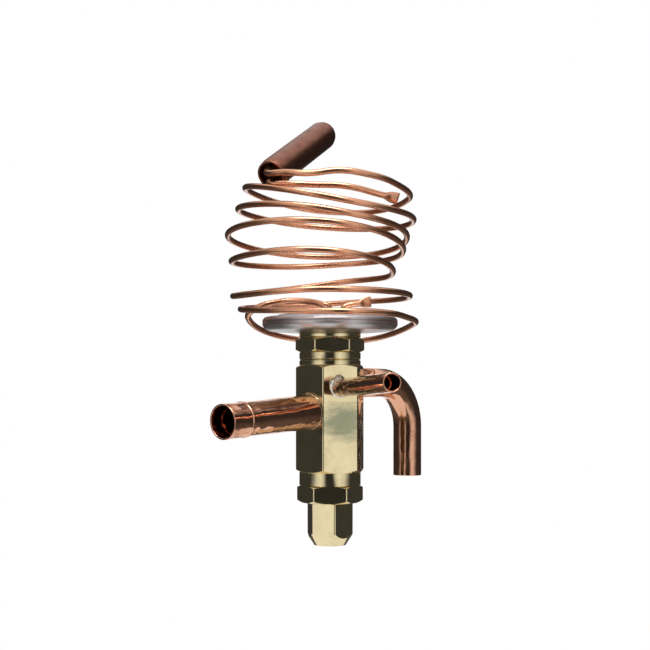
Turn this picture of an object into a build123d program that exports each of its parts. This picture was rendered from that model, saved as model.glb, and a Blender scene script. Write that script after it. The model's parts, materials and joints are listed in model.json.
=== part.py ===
from build123d import *

import os
from math import cos, pi, radians, sin, sqrt, tan

# Refrigerant expansion valve with a diaphragm power head, a wound capillary and a remote sensing bulb.
#
# The origin is the centre of the seal cap's flat end. +Z runs up the valve's axis, the outlet tube
# leaves the hexagonal body along -X and the inlet tube along +X. Lengths are millimetres, angles degrees.

# ---------------------------------------------------------------- driving dimensions
# Seal cap over the adjusting spindle
cap_across_flats = 17.0
cap_height = 17.4
cap_taper_height = 5.2
cap_end_diameter = 13.0
cap_turn = 202.0
cap_end_wall = 3.2
cap_thread_length = 9.0
cap_mouth_chamfer = 0.6
cap_gasket_width = 1.0
cap_gasket_thickness = 0.8

# Bottom nut, which carries the adjusting spindle
nut_across_flats = 23.5
nut_height = 7.1
nut_turn = 221.0
nut_plug_diameter = 18.0
nut_plug_length = 8.0
nut_neck_diameter = 12.0
nut_plug_chamfer = 0.8
nut_neck_chamfer = 0.6
gasket_width = 1.2
gasket_thickness = 1.0

# Body, turned from hexagonal bar
body_across_flats = 25.4
body_hex_over_inlet = 1.1
body_collar_diameter = 25.0
body_lower_collar = 5.2
body_upper_collar = 2.0
body_spigot_diameter = 20.0
body_spigot_length = 6.6
body_well_diameter = 14.0
body_well_floor = 1.2

# Power head
head_across_flats = 24.6
head_hex_height = 6.2
head_collar_height = 2.9
head_neck_height = 1.3
head_nut_turn = 225.0
head_opening_diameter = 13.0
head_corner_break = 0.6
head_neck_step = 1.2
shell_diameter = 55.2
shell_metal = 1.2
shell_rim_width = 4.6
rim_height = 4.3
dish_depth = 2.7
rim_round = 1.2
cover_crown = 1.0
crown_radius = 22.0
diaphragm_thickness = 0.25
diaphragm_margin = 0.6
pad_thickness = 1.2
pad_margin = 6.0
pad_hub_gap = 2.0
pad_hub_reach = 1.0

# Ports and brazed tubes
tube_seat_depth = 3.5
outlet_below_seat = 4.0
outlet_droop = 3.5
outlet_length = 48.6
outlet_root_diameter = 14.0
outlet_diameter = 13.2
outlet_bore = 11.2
outlet_socket_diameter = 13.5
outlet_socket_bore = 12.1
outlet_socket_depth = 13.5
outlet_port = 9.0
outlet_neck_length = 1.0
outlet_bead = 0.2
socket_stop = 0.5

inlet_reach = 51.8
inlet_leg = 40.4
inlet_bend_radius = 19.0
inlet_diameter = 12.2
inlet_bore = 9.0
inlet_socket_bore = 10.1
inlet_socket_depth = 10.0
inlet_port = 8.4
inlet_port_overrun = 3.0
strainer_length = 9.0
strainer_mesh = 0.5

equalizer_below_inlet = 2.2
equalizer_turn = 240.0
equalizer_rise = 2.2
equalizer_length = 55.0
equalizer_diameter = 7.3
equalizer_bore = 4.9
equalizer_socket_bore = 6.1
equalizer_socket_depth = 8.0
equalizer_port = 3.0
bleed_drill = 2.0

braze_leg = 1.1

# Valve train
orifice_bore = 5.0
seat_diameter = 9.0
seat_flange_diameter = 11.4
seat_flange = 1.2
seat_height = 3.6
stem_diameter = 2.6
poppet_diameter = 6.4
poppet_cone = 1.6
poppet_land = 2.0
seat_mouth = 0.9
stem_seal_section = 1.5
carrier_height = 4.2
carrier_notch = 3.0
carrier_notch_width = 1.4
spring_chamber_diameter = 13.0
valve_stroke = 0.8

# Superheat spring and its adjuster
spring_wire = 1.3
spring_diameter = 10.8
spring_length = 10.4
spring_turns = 4.0
spring_seat_height = 3.4
spring_seat_guide = 1.8
key_width = 2.4
key_reach = 1.2
key_height = 2.0
adjust_up = 2.4
adjust_down = 3.0
seat_landing_gap = 1.62
spindle_diameter = 6.0
spindle_flange_diameter = 11.0
spindle_flange = 2.0
spindle_flange_depth = 2.5
spindle_end_gap = 1.8
spindle_square = 4.0
spindle_square_length = 4.5
o_ring_section = 1.2
o_ring_spacing = 3.5
o_ring_depth = 1.0

# Capillary, sensing bulb and the pinched charging tails
capillary_diameter = 2.5
bulb_diameter = 12.0
bulb_mouth_diameter = 11.0
bulb_length = 53.5
bulb_wall = 0.9
bulb_recess = 3.6
bulb_plug_length = 3.0
bulb_turn = 64.9
bulb_rise = 25.3
bulb_tube_spread = 1.9
bulb_tail_drop = 2.5
fishtail_length = 5.6
fishtail_width = 4.7
fishtail_thickness = 1.0
coil_turn = -49.0
coil_depth = 35.0
bulb_mouth = (-24.1, -20.0, 54.3)
stub_foot_place = (5.0, 1.5)
stub_run = 4.0
stub_lift = 0.7
head_bend = 3.2
stub_bend = 3.0

# Clearances
slide_gap = 0.05
thread_gap = 0.05
braze_gap = 0.02
free_gap = 0.3

# ---------------------------------------------------------------- heights up the axis
nut_bottom = cap_height
nut_top = nut_bottom + nut_height
body_bottom = nut_top
hex_bottom = body_bottom + body_lower_collar
nut_plug_top = body_bottom + nut_plug_length
flange_bottom = nut_plug_top - spindle_flange - spindle_flange_depth
spindle_bottom = cap_end_wall + spindle_end_gap
spring_seat_bottom = nut_plug_top + seat_landing_gap + adjust_down
spring_bottom = spring_seat_bottom + spring_seat_height
spring_top = spring_bottom + spring_length
carrier_bottom = spring_top - spring_wire
carrier_top = carrier_bottom + carrier_height
seat_face = carrier_top + poppet_land + valve_stroke + poppet_cone
chamber_top = seat_face + seat_flange
inlet_height = seat_face + seat_height + inlet_port / 2 - braze_gap
inlet_end_height = inlet_height - inlet_leg
outlet_height = seat_face - outlet_below_seat
equalizer_height = inlet_height - equalizer_below_inlet
hex_top = inlet_height + inlet_diameter / 2 + body_hex_over_inlet
body_shoulder = hex_top + body_upper_collar
body_top = body_shoulder + body_spigot_length
well_floor = body_shoulder - body_well_floor
head_hex_bottom = body_shoulder + head_collar_height
head_hex_top = head_hex_bottom + head_hex_height
head_top = head_hex_top + head_neck_height
rim_bottom = head_top + dish_depth
rim_top = rim_bottom + rim_height
cover_top = rim_top + cover_crown
half_flats = body_across_flats / 2


# ---------------------------------------------------------------- shared forms
def hexagon_bar(across_flats, bottom, top, face_angle, low_end, high_end):
    """A hexagonal bar whose corners are turned to 30 degrees down to the two end diameters."""
    reach = across_flats / sqrt(3) + 0.5
    low_turned = (reach - low_end / 2) * tan(radians(30))
    high_turned = (reach - high_end / 2) * tan(radians(30))
    with BuildPart() as bar:
        with BuildSketch(Plane.XY.offset(bottom)):
            RegularPolygon(across_flats / 2, 6, major_radius=False, rotation=face_angle + 30)
        extrude(amount=top - bottom)
        with BuildSketch(Plane.XZ):
            with BuildLine():
                Polyline(
                    (0, bottom),
                    (low_end / 2, bottom),
                    (reach, bottom + low_turned),
                    (reach, top - high_turned),
                    (high_end / 2, top),
                    (0, top),
                    close=True,
                )
            make_face()
        revolve(axis=Axis.Z, mode=Mode.INTERSECT)
    return bar.part


def turned(plane, axis, *outline):
    """A solid of revolution from an outline of (radius, distance along the axis) points."""
    with BuildPart() as piece:
        with BuildSketch(plane):
            with BuildLine():
                Polyline(*outline, close=True)
            make_face()
        revolve(axis=axis)
    return piece.part


def upright(*outline):
    """The same about the valve's own axis, with heights as the distances."""
    return turned(Plane.XZ, Axis.Z, *outline)


def ring(inner, outer, bottom, top):
    """A plain washer about the valve's axis, from its two diameters."""
    return upright(
        (inner / 2, bottom), (outer / 2, bottom), (outer / 2, top), (inner / 2, top)
    )


def tube_plane(origin, direction):
    """A plane through a tube's axis, with Y along the tube and X level across it."""
    along = Vector(*direction).normalized()
    across = Vector(0, 0, 1).cross(along).normalized()
    return Plane(origin=origin, x_dir=across, z_dir=across.cross(along))


tube_sides = 8


def wire(points, diameter, sides):
    """Round wire or fine tube laid as short straight runs with mitred joints, its section a many-sided
    polygon, so that a long coil stays light."""
    with BuildPart() as piece:
        with BuildLine() as path:
            Polyline(*points)
        with BuildSketch(Plane(origin=path.line @ 0, z_dir=path.line % 0)):
            RegularPolygon(diameter / 2, sides)
        sweep(transition=Transition.RIGHT)
    return piece.part


# The coil, the bulb and the tails share a frame that stands on the cover, turned about the valve's axis.
coil_frame = Plane.XY.offset(cover_top).rotated((0, 0, coil_turn))


def wound(x, y, z):
    """A point of the coil's frame in the valve's own frame."""
    return coil_frame.from_local_coords(Vector(x, y, z))


def toward(x, y, z):
    """A direction of the coil's frame in the valve's own frame."""
    return wound(x, y, z) - coil_frame.origin


stub_foot = wound(*stub_foot_place, 0)


# ---------------------------------------------------------------- port axes
outlet_axis = (-cos(radians(outlet_droop)), 0, -sin(radians(outlet_droop)))
outlet_plane = tube_plane((-half_flats, 0, outlet_height), outlet_axis)
inlet_plane = tube_plane((half_flats, 0, inlet_height), (1, 0, 0))
equalizer_side = (cos(radians(equalizer_turn)), sin(radians(equalizer_turn)))
equalizer_axis = (
    cos(radians(equalizer_rise)) * equalizer_side[0],
    cos(radians(equalizer_rise)) * equalizer_side[1],
    sin(radians(equalizer_rise)),
)
equalizer_plane = tube_plane(
    (half_flats * equalizer_side[0], half_flats * equalizer_side[1], equalizer_height), equalizer_axis
)


def along(plane):
    """The axis that a tube plane's Y runs along."""
    return Axis(plane.origin, plane.y_dir)


def port(plane, seat_diameter, bore, depth):
    """What a drill and a counterbore take out for one tube: the seat it is brazed in, then its port."""
    return turned(
        plane,
        along(plane),
        (0, -depth),
        (bore / 2, -depth),
        (bore / 2, -tube_seat_depth),
        (seat_diameter / 2 + braze_gap, -tube_seat_depth),
        (seat_diameter / 2 + braze_gap, tube_seat_depth),
        (0, tube_seat_depth),
    )


# ---------------------------------------------------------------- valve body
bleed_out = half_flats - tube_seat_depth - equalizer_port / 2
bleed_in = body_well_diameter / 2 - bleed_drill / 2
bleed_start = Vector(bleed_out * equalizer_side[0], bleed_out * equalizer_side[1], equalizer_height)
bleed_end = Vector(
    bleed_in * equalizer_side[0], bleed_in * equalizer_side[1], well_floor + bleed_drill / 2
)
bleed_hole = turned(
    tube_plane(bleed_start, bleed_end - bleed_start),
    Axis(bleed_start, bleed_end - bleed_start),
    (0, 0),
    (bleed_drill / 2, 0),
    (bleed_drill / 2, (bleed_end - bleed_start).length),
    (0, (bleed_end - bleed_start).length),
)

gasket_outer = nut_plug_diameter + 2 * gasket_width
stem_seal_outer = stem_diameter + 2 * stem_seal_section
chamber_bottom = nut_plug_top + thread_gap
key_slot = key_width + 2 * slide_gap
key_slot_top = spring_seat_bottom + key_height + adjust_up + free_gap

with BuildPart() as valve_body:
    add(
        hexagon_bar(
            body_across_flats, hex_bottom, hex_top, 0, body_collar_diameter, body_collar_diameter
        )
    )
    with BuildSketch(Plane.XY.offset(body_bottom)):
        Circle(body_collar_diameter / 2)
    extrude(amount=body_lower_collar)
    with BuildSketch(Plane.XY.offset(hex_top)):
        Circle(body_collar_diameter / 2)
    extrude(amount=body_upper_collar)
    with BuildSketch(Plane.XY.offset(body_shoulder)):
        Circle(body_spigot_diameter / 2)
    extrude(amount=body_spigot_length)
    # The stepped bore: gasket recess, thread, spring chamber, orifice, stem guide and diaphragm well.
    add(
        upright(
            (0, body_bottom),
            (gasket_outer / 2 + thread_gap, body_bottom),
            (gasket_outer / 2 + thread_gap, body_bottom + gasket_thickness),
            (nut_plug_diameter / 2 + thread_gap, body_bottom + gasket_thickness),
            (nut_plug_diameter / 2 + thread_gap, chamber_bottom),
            (spring_chamber_diameter / 2, chamber_bottom),
            (spring_chamber_diameter / 2, chamber_top),
            (seat_diameter / 2 + braze_gap, chamber_top),
            (seat_diameter / 2 + braze_gap, inlet_height),
            (stem_diameter / 2 + slide_gap, inlet_height),
            (stem_diameter / 2 + slide_gap, well_floor - stem_seal_section),
            (stem_seal_outer / 2 + slide_gap, well_floor - stem_seal_section),
            (stem_seal_outer / 2 + slide_gap, well_floor),
            (body_well_diameter / 2, well_floor),
            (body_well_diameter / 2, body_top),
            (0, body_top),
        ),
        mode=Mode.SUBTRACT,
    )
    # Two keyways stop the spring seat from turning with the spindle.
    with BuildSketch(Plane.XY.offset(chamber_bottom)):
        Rectangle(key_slot, spring_chamber_diameter + 2 * (key_reach + slide_gap))
    extrude(amount=key_slot_top - chamber_bottom, mode=Mode.SUBTRACT)
    add(port(outlet_plane, outlet_root_diameter, outlet_port, half_flats), mode=Mode.SUBTRACT)
    inlet_depth = half_flats + inlet_port_overrun
    add(port(inlet_plane, inlet_diameter, inlet_port, inlet_depth), mode=Mode.SUBTRACT)
    add(
        port(equalizer_plane, equalizer_diameter, equalizer_port, half_flats - bleed_out),
        mode=Mode.SUBTRACT,
    )
    add(bleed_hole, mode=Mode.SUBTRACT)
valve_body.part.label = "valve_body"

# ---------------------------------------------------------------- bottom nut, gasket, cap
o_ring_heights = (nut_bottom - o_ring_depth, nut_bottom - o_ring_depth + o_ring_spacing)
spindle_bore = spindle_diameter + 2 * slide_gap

with BuildPart() as bottom_nut:
    add(
        hexagon_bar(nut_across_flats, nut_bottom, nut_top, nut_turn, nut_across_flats, nut_across_flats)
    )
    with BuildSketch(Plane.XY.offset(nut_top)):
        Circle(nut_plug_diameter / 2)
    extrude(amount=nut_plug_length)
    chamfer(bottom_nut.edges().sort_by(Axis.Z)[-1], nut_plug_chamfer)
    neck_bottom = nut_bottom - cap_thread_length
    with BuildSketch(Plane.XY.offset(neck_bottom)):
        Circle(nut_neck_diameter / 2)
    extrude(amount=cap_thread_length)
    chamfer(bottom_nut.edges().sort_by(Axis.Z)[0], nut_neck_chamfer)
    add(
        upright(
            (0, neck_bottom),
            (spindle_bore / 2, neck_bottom),
            (spindle_bore / 2, flange_bottom),
            (spindle_flange_diameter / 2 + slide_gap, flange_bottom),
            (spindle_flange_diameter / 2 + slide_gap, nut_plug_top),
            (0, nut_plug_top),
        ),
        mode=Mode.SUBTRACT,
    )
bottom_nut.part.label = "bottom_nut"

with BuildPart() as bottom_gasket:
    add(
        ring(
            nut_plug_diameter + 2 * thread_gap,
            gasket_outer,
            body_bottom,
            body_bottom + gasket_thickness,
        )
    )
bottom_gasket.part.label = "bottom_gasket"

cap_bore = nut_neck_diameter + 2 * thread_gap
cap_gasket_outer = cap_bore + 2 * cap_gasket_width

with BuildPart() as seal_cap:
    with BuildSketch():
        RegularPolygon(cap_across_flats / 2, 6, major_radius=False, rotation=cap_turn + 30)
    extrude(amount=cap_height)
    corner = cap_across_flats / sqrt(3)
    with BuildSketch(Plane.XZ):
        with BuildLine():
            Polyline(
                (0, 0),
                (cap_end_diameter / 2, 0),
                (corner, cap_taper_height),
                (corner, cap_height - cap_mouth_chamfer),
                (corner - 2 * cap_mouth_chamfer, cap_height),
                (0, cap_height),
                close=True,
            )
        make_face()
    revolve(axis=Axis.Z, mode=Mode.INTERSECT)
    with BuildSketch(Plane.XY.offset(cap_end_wall)):
        Circle(cap_bore / 2)
    extrude(amount=cap_height, mode=Mode.SUBTRACT)
    with BuildSketch(Plane.XY.offset(cap_height - cap_gasket_thickness)):
        Circle(cap_gasket_outer / 2)
    extrude(amount=cap_gasket_thickness, mode=Mode.SUBTRACT)
seal_cap.part.label = "seal_cap"

with BuildPart() as cap_gasket:
    add(
        ring(
            cap_bore,
            cap_gasket_outer - 2 * thread_gap,
            cap_height - cap_gasket_thickness,
            cap_height,
        )
    )
cap_gasket.part.label = "cap_gasket"

# ---------------------------------------------------------------- adjusting spindle and its seals
groove_floor = spindle_diameter - 2 * o_ring_section + 2 * slide_gap
groove_width = o_ring_section + 2 * slide_gap
thread_top = spring_bottom + spring_seat_guide + adjust_up

with BuildPart() as adjusting_spindle:
    with BuildSketch(Plane.XY.offset(spindle_bottom + spindle_square_length)):
        Circle(spindle_diameter / 2)
    extrude(amount=thread_top - spindle_bottom - spindle_square_length)
    with BuildSketch(Plane.XY.offset(spindle_bottom)):
        Rectangle(spindle_square, spindle_square)
    extrude(amount=spindle_square_length)
    chamfer(adjusting_spindle.edges().group_by(Axis.Z)[-1], nut_neck_chamfer)
    with BuildSketch(Plane.XY.offset(flange_bottom)):
        Circle(spindle_flange_diameter / 2)
    extrude(amount=spindle_flange)
    for height in o_ring_heights:
        add(
            ring(groove_floor, spindle_bore, height, height + groove_width),
            mode=Mode.SUBTRACT,
        )
adjusting_spindle.part.label = "adjusting_spindle"

with BuildPart() as spindle_o_rings:
    for height in o_ring_heights:
        add(
            ring(
                groove_floor,
                spindle_diameter,
                height + slide_gap,
                height + slide_gap + o_ring_section,
            )
        )
spindle_o_rings.part.label = "spindle_o_rings"

# ---------------------------------------------------------------- spring seat, spring, pin carrier
guide_diameter = spring_diameter - 2 * spring_wire - 2 * free_gap

with BuildPart() as spring_seat:
    with BuildSketch(Plane.XY.offset(spring_seat_bottom)):
        Circle(spring_chamber_diameter / 2 - slide_gap)
        Rectangle(key_width, spring_chamber_diameter + 2 * key_reach)
    extrude(amount=key_height)
    with BuildSketch(Plane.XY.offset(spring_seat_bottom + key_height)):
        Circle(spring_chamber_diameter / 2 - slide_gap)
    extrude(amount=spring_seat_height - key_height)
    with BuildSketch(Plane.XY.offset(spring_bottom)):
        Circle(guide_diameter / 2)
    extrude(amount=spring_seat_guide)
    with BuildSketch(Plane.XY.offset(spring_seat_bottom)):
        Circle(spindle_bore / 2)
    extrude(amount=spring_seat_height + spring_seat_guide, mode=Mode.SUBTRACT)
spring_seat.part.label = "spring_seat"

# The end coils are ground flat, so the spring is cut square at both ends.
coil_radius = (spring_diameter - spring_wire) / 2
coil_steps = 12
spring_rise = spring_length + spring_wire
spring_points = [
    (
        coil_radius * cos(2 * pi * step / coil_steps),
        coil_radius * sin(2 * pi * step / coil_steps),
        spring_bottom - spring_wire / 2 + spring_rise * step / (spring_turns * coil_steps),
    )
    for step in range(int(spring_turns * coil_steps) + 1)
]
with BuildPart() as superheat_spring:
    add(wire(spring_points, spring_wire, tube_sides))
    with BuildSketch(Plane.XY.offset(spring_bottom)):
        Circle(spring_diameter)
    extrude(amount=spring_length, mode=Mode.INTERSECT)
superheat_spring.part.label = "superheat_spring"

with BuildPart() as pin_carrier:
    with BuildSketch(Plane.XY.offset(carrier_bottom)):
        Circle(spring_chamber_diameter / 2 - slide_gap)
    extrude(amount=carrier_height)
    # The spring stands in a recess; four notches in the rim let the refrigerant by.
    add(
        ring(
            guide_diameter,
            spring_diameter + 2 * free_gap,
            carrier_bottom,
            spring_top,
        ),
        mode=Mode.SUBTRACT,
    )
    with BuildSketch(Plane.XY.offset(carrier_bottom)):
        with PolarLocations(spring_chamber_diameter / 2, 4, start_angle=45):
            Rectangle(carrier_notch_width, carrier_notch)
    extrude(amount=carrier_height, mode=Mode.SUBTRACT)
pin_carrier.part.label = "pin_carrier"

# ---------------------------------------------------------------- valve stem and its seat
pad_hub_bottom = head_hex_top - pad_hub_reach
seat_line = (poppet_diameter - orifice_bore) / 2
with BuildPart() as valve_stem:
    add(
        upright(
            (0, carrier_top),
            (poppet_diameter / 2, carrier_top),
            (poppet_diameter / 2, seat_face - poppet_cone + seat_line - slide_gap),
            (stem_diameter / 2, seat_face + poppet_cone - slide_gap),
            (stem_diameter / 2, pad_hub_bottom),
            (0, pad_hub_bottom),
        )
    )
valve_stem.part.label = "valve_stem"

with BuildPart() as orifice_seat:
    add(
        upright(
            (orifice_bore / 2 + seat_mouth, seat_face),
            (seat_flange_diameter / 2, seat_face),
            (seat_flange_diameter / 2, seat_face + seat_flange),
            (seat_diameter / 2, seat_face + seat_flange),
            (seat_diameter / 2, seat_face + seat_height),
            (orifice_bore / 2, seat_face + seat_height),
            (orifice_bore / 2, seat_face + seat_mouth),
        )
    )
orifice_seat.part.label = "orifice_seat"

with BuildPart() as stem_seal:
    add(
        ring(
            stem_diameter + 2 * slide_gap,
            stem_seal_outer,
            well_floor - stem_seal_section,
            well_floor,
        )
    )
stem_seal.part.label = "stem_seal"

# ---------------------------------------------------------------- power head
head_bore = body_spigot_diameter + 2 * thread_gap
with BuildPart() as power_head_nut:
    add(
        hexagon_bar(
            head_across_flats,
            head_hex_bottom,
            head_hex_top,
            head_nut_turn,
            head_across_flats - head_corner_break,
            head_across_flats - head_corner_break,
        )
    )
    with BuildSketch(Plane.XY.offset(body_shoulder)):
        Circle(body_collar_diameter / 2)
    extrude(amount=head_collar_height)
    with BuildSketch(Plane.XY.offset(head_hex_top)):
        Circle(head_across_flats / 2 - head_neck_step)
    extrude(amount=head_neck_height)
    with BuildSketch(Plane.XY.offset(body_shoulder)):
        Circle(head_bore / 2)
    extrude(amount=body_spigot_length + thread_gap, mode=Mode.SUBTRACT)
    with BuildSketch(Plane.XY.offset(body_shoulder)):
        Circle(head_opening_diameter / 2)
    extrude(amount=head_top - body_shoulder, mode=Mode.SUBTRACT)
power_head_nut.part.label = "power_head_nut"

# The two stainless shells meet at the rim with the diaphragm's edge welded between them.
rim_radius = shell_diameter / 2
flat_radius = rim_radius - shell_rim_width
web_bottom = rim_bottom + (rim_height - diaphragm_thickness) / 2
web_top = web_bottom + diaphragm_thickness
dish_foot = head_across_flats / 2

with BuildPart() as power_head_base:
    add(
        upright(
            (head_opening_diameter / 2, head_top),
            (dish_foot, head_top),
            (rim_radius - rim_round, rim_bottom),
            (rim_radius, rim_bottom + rim_round),
            (rim_radius, web_bottom),
            (flat_radius, web_bottom),
            (flat_radius, rim_bottom + rim_round / 2),
            (dish_foot, head_top + shell_metal),
            (head_opening_diameter / 2, head_top + shell_metal),
        )
    )
power_head_base.part.label = "power_head_base"

with BuildPart() as power_head_cover:
    add(
        upright(
            (rim_radius, web_top),
            (rim_radius, rim_top - rim_round),
            (rim_radius - rim_round, rim_top),
            (crown_radius, cover_top),
            (capillary_diameter / 2 + braze_gap, cover_top),
            (capillary_diameter / 2 + braze_gap, cover_top - shell_metal),
            (flat_radius, cover_top - shell_metal),
            (flat_radius, web_top),
        )
    )
    with BuildSketch(Plane(origin=stub_foot, z_dir=(0, 0, 1))):
        Circle(capillary_diameter / 2 + braze_gap)
    extrude(amount=-2 * shell_metal, mode=Mode.SUBTRACT)
power_head_cover.part.label = "power_head_cover"

with BuildPart() as diaphragm:
    with BuildSketch(Plane.XY.offset(web_bottom)):
        Circle(rim_radius - diaphragm_margin)
    extrude(amount=diaphragm_thickness)
diaphragm.part.label = "diaphragm"

pad_radius = flat_radius - pad_margin
pad_hub_radius = head_opening_diameter / 2 - pad_hub_gap
with BuildPart() as diaphragm_pad:
    add(
        upright(
            (0, pad_hub_bottom),
            (pad_hub_radius, pad_hub_bottom),
            (pad_hub_radius, web_bottom - pad_thickness),
            (pad_radius, web_bottom - pad_thickness),
            (pad_radius, web_bottom),
            (0, web_bottom),
        )
    )
diaphragm_pad.part.label = "diaphragm_pad"

# ---------------------------------------------------------------- brazed tubes
with BuildPart() as outlet_tube:
    shoulder = outlet_length - outlet_socket_depth
    bead_radius = outlet_socket_diameter / 2 + outlet_bead
    add(
        turned(
            outlet_plane,
            along(outlet_plane),
            (outlet_bore / 2, -tube_seat_depth),
            (outlet_root_diameter / 2, -tube_seat_depth),
            (outlet_root_diameter / 2, tube_seat_depth),
            (outlet_diameter / 2, shoulder - 1.6 * outlet_neck_length),
            (bead_radius, shoulder - 0.6 * outlet_neck_length),
            (bead_radius, shoulder + 0.4 * outlet_neck_length),
            (outlet_socket_diameter / 2, shoulder + 1.2 * outlet_neck_length),
            (outlet_socket_diameter / 2, outlet_length),
            (outlet_socket_bore / 2, outlet_length),
            (outlet_socket_bore / 2, shoulder),
            (outlet_bore / 2, shoulder - socket_stop),
        )
    )
outlet_tube.part.label = "outlet_tube"

with BuildPart() as equalizer_tube:
    stop = equalizer_length - equalizer_socket_depth
    add(
        turned(
            equalizer_plane,
            along(equalizer_plane),
            (equalizer_bore / 2, -tube_seat_depth),
            (equalizer_diameter / 2, -tube_seat_depth),
            (equalizer_diameter / 2, equalizer_length),
            (equalizer_socket_bore / 2, equalizer_length),
            (equalizer_socket_bore / 2, stop),
            (equalizer_bore / 2, stop - socket_stop),
        )
    )
equalizer_tube.part.label = "equalizer_tube"

# The inlet's bend is laid in short mitred runs that touch its true arc.
bend_runs = 6
bend_step = pi / 2 / bend_runs
bend_centre = Vector(inlet_reach - inlet_bend_radius, 0, inlet_height - inlet_bend_radius)
bend_corner_radius = inlet_bend_radius / cos(bend_step / 2)
inlet_route = [
    (half_flats - tube_seat_depth, 0, inlet_height),
    *(
        bend_centre
        + Vector(sin(bend_step * (run + 0.5)), 0, cos(bend_step * (run + 0.5))) * bend_corner_radius
        for run in range(bend_runs)
    ),
    (inlet_reach, 0, inlet_end_height),
]


def bent_rod(points, diameter):
    """A round rod along straight runs with mitred joints."""
    with BuildPart() as rod:
        with BuildLine() as path:
            Polyline(*points)
        with BuildSketch(Plane(origin=path.line @ 0, z_dir=path.line % 0)):
            Circle(diameter / 2)
        sweep(transition=Transition.RIGHT)
    return rod.part


with BuildPart() as inlet_tube:
    add(bent_rod(inlet_route, inlet_diameter))
    add(bent_rod(inlet_route, inlet_bore), mode=Mode.SUBTRACT)
    with BuildSketch(Plane(origin=(inlet_reach, 0, inlet_end_height))):
        Circle(inlet_socket_bore / 2)
    extrude(amount=inlet_socket_depth, mode=Mode.SUBTRACT)
inlet_tube.part.label = "inlet_tube"


def braze_fillet(plane, diameter, face_normal):
    """Filler metal in the corner between a tube and the flat that it enters."""
    root = diameter / 2 + braze_gap
    with BuildPart() as fillet_ring:
        with BuildSketch(plane):
            with BuildLine():
                Polyline(
                    (root, -braze_leg),
                    (root + braze_leg, -braze_leg),
                    (root + braze_leg, 0),
                    (root, braze_leg),
                    close=True,
                )
            make_face()
        revolve(axis=along(plane))
        split(bisect_by=Plane(origin=plane.origin, z_dir=face_normal), keep=Keep.TOP)
    return fillet_ring.part


with BuildPart() as outlet_braze:
    add(braze_fillet(outlet_plane, outlet_root_diameter, (-1, 0, 0)))
outlet_braze.part.label = "outlet_braze"

with BuildPart() as inlet_braze:
    add(braze_fillet(inlet_plane, inlet_diameter, (1, 0, 0)))
inlet_braze.part.label = "inlet_braze"

with BuildPart() as equalizer_braze:
    add(braze_fillet(equalizer_plane, equalizer_diameter, (*equalizer_side, 0)))
equalizer_braze.part.label = "equalizer_braze"

# The strainer is a thimble of fine mesh pushed into the inlet tube's seat end.
strainer_radius = inlet_bore / 2 - slide_gap
strainer_end = strainer_length - tube_seat_depth
with BuildPart() as inlet_strainer:
    add(
        turned(
            inlet_plane,
            along(inlet_plane),
            (strainer_radius - strainer_mesh, -tube_seat_depth),
            (strainer_radius, -tube_seat_depth),
            (strainer_radius, strainer_end),
            (0, strainer_end),
            (0, strainer_end - strainer_mesh),
            (strainer_radius - strainer_mesh, strainer_end - strainer_mesh),
        )
    )
inlet_strainer.part.label = "inlet_strainer"

# ---------------------------------------------------------------- sensing bulb
bulb_direction = toward(
    cos(radians(bulb_rise)) * cos(radians(bulb_turn)),
    cos(radians(bulb_rise)) * sin(radians(bulb_turn)),
    sin(radians(bulb_rise)),
)
bulb_plane = tube_plane(wound(*bulb_mouth), bulb_direction)
bulb_radius = bulb_diameter / 2
bulb_lip = bulb_mouth_diameter / 2
bulb_inside = bulb_radius - bulb_wall
plug_end = bulb_recess + bulb_plug_length
dome = bulb_radius * 0.62

with BuildPart() as sensing_bulb:
    add(
        turned(
            bulb_plane,
            along(bulb_plane),
            (0, bulb_length),
            (bulb_radius * 0.35, bulb_length),
            (bulb_radius * 0.8, bulb_length - bulb_radius * 0.22),
            (bulb_radius, bulb_length - dome),
            (bulb_radius, bulb_recess),
            (bulb_lip, 0),
            (bulb_lip - bulb_wall, 0),
            (bulb_inside, bulb_recess),
            (bulb_inside, bulb_length - dome),
            (bulb_radius * 0.3, bulb_length - bulb_wall),
            (0, bulb_length - bulb_wall),
        )
    )
sensing_bulb.part.label = "sensing_bulb"

bulb_up = bulb_plane.z_dir if bulb_plane.z_dir.Z > 0 else -bulb_plane.z_dir
capillary_exit = bulb_plane.origin + bulb_up * bulb_tube_spread
tail_exit = bulb_plane.origin - bulb_up * bulb_tail_drop


def plug_hole(exit_point):
    """The clearance that a tube has through the bulb's plug."""
    return turned(
        tube_plane(exit_point, bulb_direction),
        Axis(exit_point, bulb_direction),
        (0, 0),
        (capillary_diameter / 2 + braze_gap, 0),
        (capillary_diameter / 2 + braze_gap, plug_end + bulb_wall),
        (0, plug_end + bulb_wall),
    )


with BuildPart() as bulb_plug:
    add(
        turned(
            bulb_plane,
            along(bulb_plane),
            (0, bulb_recess),
            (bulb_inside - braze_gap, bulb_recess),
            (bulb_inside - braze_gap, plug_end),
            (0, plug_end),
        )
    )
    add(plug_hole(capillary_exit), mode=Mode.SUBTRACT)
    add(plug_hole(tail_exit), mode=Mode.SUBTRACT)
bulb_plug.part.label = "bulb_plug"

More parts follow.
